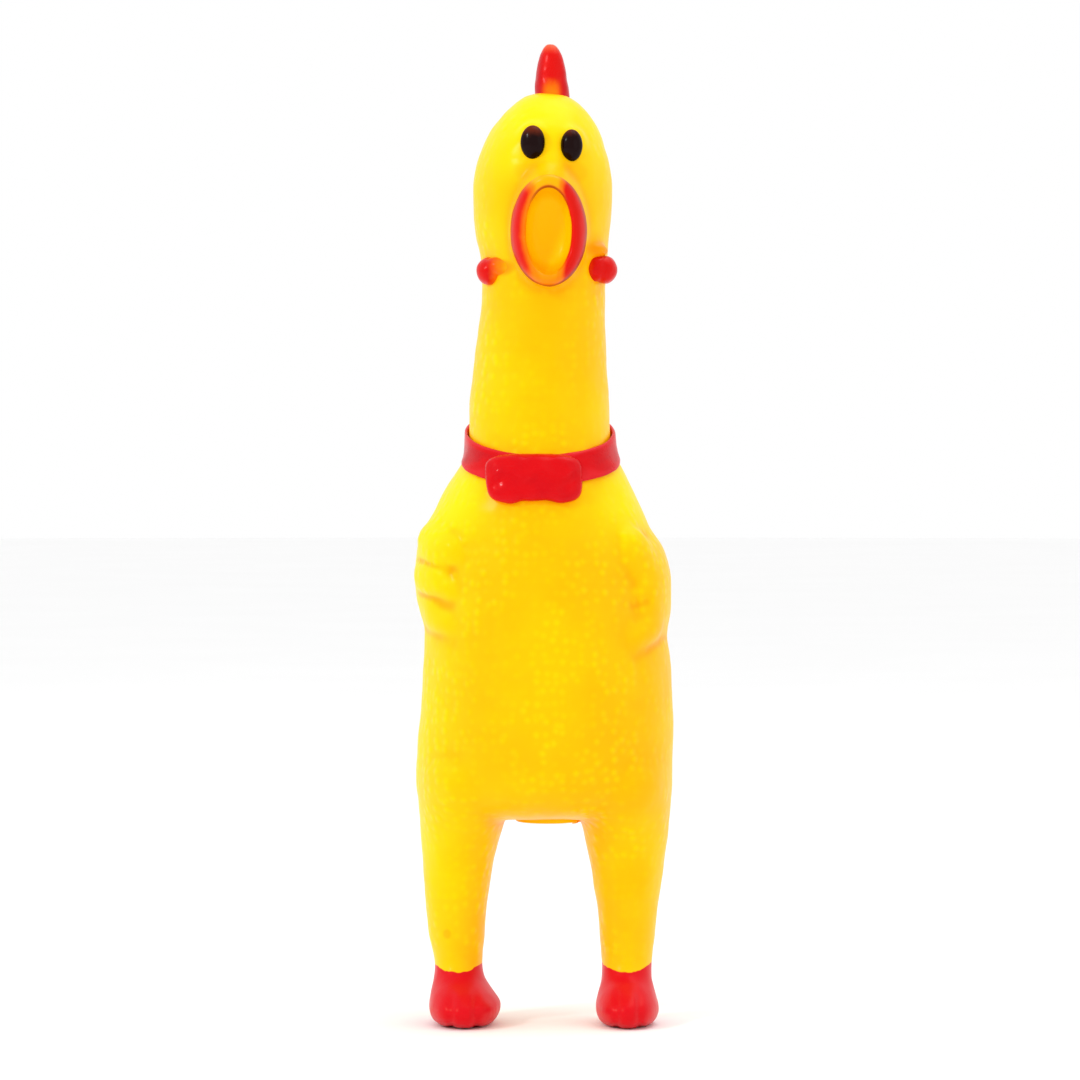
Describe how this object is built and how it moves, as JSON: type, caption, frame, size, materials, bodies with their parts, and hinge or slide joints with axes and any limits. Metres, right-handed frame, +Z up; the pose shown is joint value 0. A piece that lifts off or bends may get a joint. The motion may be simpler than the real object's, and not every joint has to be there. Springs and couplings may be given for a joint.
{
  "type": "rubber chicken",
  "caption": "Standing hollow rubber chicken with an open beak, painted collar and bow, bending neck, legs and feet, and a squeaker in its underside.",
  "frame": {"origin": "on the floor under the middle of the chicken, between its feet", "axes": "+Z up from the soles to the comb, -Y the way the chicken faces, +X its left side"},
  "size_m": [0.0832, 0.066, 0.31],
  "materials": {
    "yellow_vinyl": "soft satin vinyl, lemon to amber, with fine goosebumps",
    "red_feet": "dipped crimson paint, satin",
    "red_comb": "sprayed red fading to orange at its root",
    "red_wattle": "sprayed red fading to orange",
    "orange_red_lip": "sprayed orange red, yellow at its top",
    "black_eye": "gloss black paint",
    "red_collar": "semi-gloss red paint",
    "red_bow": "gloss red paint",
    "white_plastic": "moulded white plastic",
    "clear_film": "thin clear film"
  },
  "bodies": {
    "torso": {"torso_skin": "yellow_vinyl", "collar_band": "red_collar", "bow_tie": "red_bow", "neck_fold": "yellow_vinyl", "left_hip_fold": "yellow_vinyl", "right_hip_fold": "yellow_vinyl", "squeaker_housing": "white_plastic", "squeaker_grille": "white_plastic", "reed_block": "white_plastic", "reed_wedge": "white_plastic"},
    "belly": {"belly_panel": "yellow_vinyl"},
    "neck": {"neck_skin": "yellow_vinyl", "head_fold": "yellow_vinyl"},
    "head": {"head_skin": "yellow_vinyl", "comb": "red_comb", "left_eye": "black_eye", "right_eye": "black_eye", "beak_rim": "orange_red_lip", "left_wattle": "red_wattle", "right_wattle": "red_wattle"},
    "left_leg": {"left_leg_skin": "yellow_vinyl", "left_ankle_fold": "yellow_vinyl"},
    "right_leg": {"right_leg_skin": "yellow_vinyl", "right_ankle_fold": "yellow_vinyl"},
    "left_foot": {"left_foot": "red_feet"},
    "right_foot": {"right_foot": "red_feet"},
    "reed": {"reed": "clear_film"}
  },
  "joints": [
    {"name": "belly_squeeze", "type": "slide", "parent": "torso", "child": "belly", "axis": [0, 1, 0], "range_m": [0, 0.016], "stiffness_N_per_m": 300},
    {"name": "neck_bend", "type": "hinge", "parent": "torso", "child": "neck", "pos_m": [0, 0, 0.19915], "axis": [1, 0, 0], "range_deg": [-35, 35], "stiffness_Nm_per_rad": 0.3, "deforming": ["neck_fold"]},
    {"name": "head_tilt", "type": "hinge", "parent": "neck", "child": "head", "pos_m": [0, 0, 0.2246], "axis": [0, 1, 0], "range_deg": [-28, 28], "stiffness_Nm_per_rad": 0.25, "deforming": ["head_fold"]},
    {"name": "left_hip_swing", "type": "hinge", "parent": "torso", "child": "left_leg", "pos_m": [0.02611, 0, 0.0586], "axis": [1, 0, 0], "range_deg": [-45, 35], "stiffness_Nm_per_rad": 0.8, "deforming": ["left_hip_fold"]},
    {"name": "right_hip_swing", "type": "hinge", "parent": "torso", "child": "right_leg", "pos_m": [-0.02611, 0, 0.0586], "axis": [1, 0, 0], "range_deg": [-45, 35], "stiffness_Nm_per_rad": 0.8, "deforming": ["right_hip_fold"]},
    {"name": "left_ankle_bend", "type": "hinge", "parent": "left_leg", "child": "left_foot", "pos_m": [0.027, 0, 0.0233], "axis": [1, 0, 0], "range_deg": [-25, 25], "stiffness_Nm_per_rad": 0.8, "deforming": ["left_ankle_fold"]},
    {"name": "right_ankle_bend", "type": "hinge", "parent": "right_leg", "child": "right_foot", "pos_m": [-0.027, 0, 0.0233], "axis": [1, 0, 0], "range_deg": [-25, 25], "stiffness_Nm_per_rad": 0.8, "deforming": ["right_ankle_fold"]},
    {"name": "reed_flutter", "type": "hinge", "parent": "torso", "child": "reed", "pos_m": [0.002, 0.00045, 0.0854], "axis": [1, 0, 0], "range_deg": [0, 8], "stiffness_Nm_per_rad": 0.00002}
  ]
}
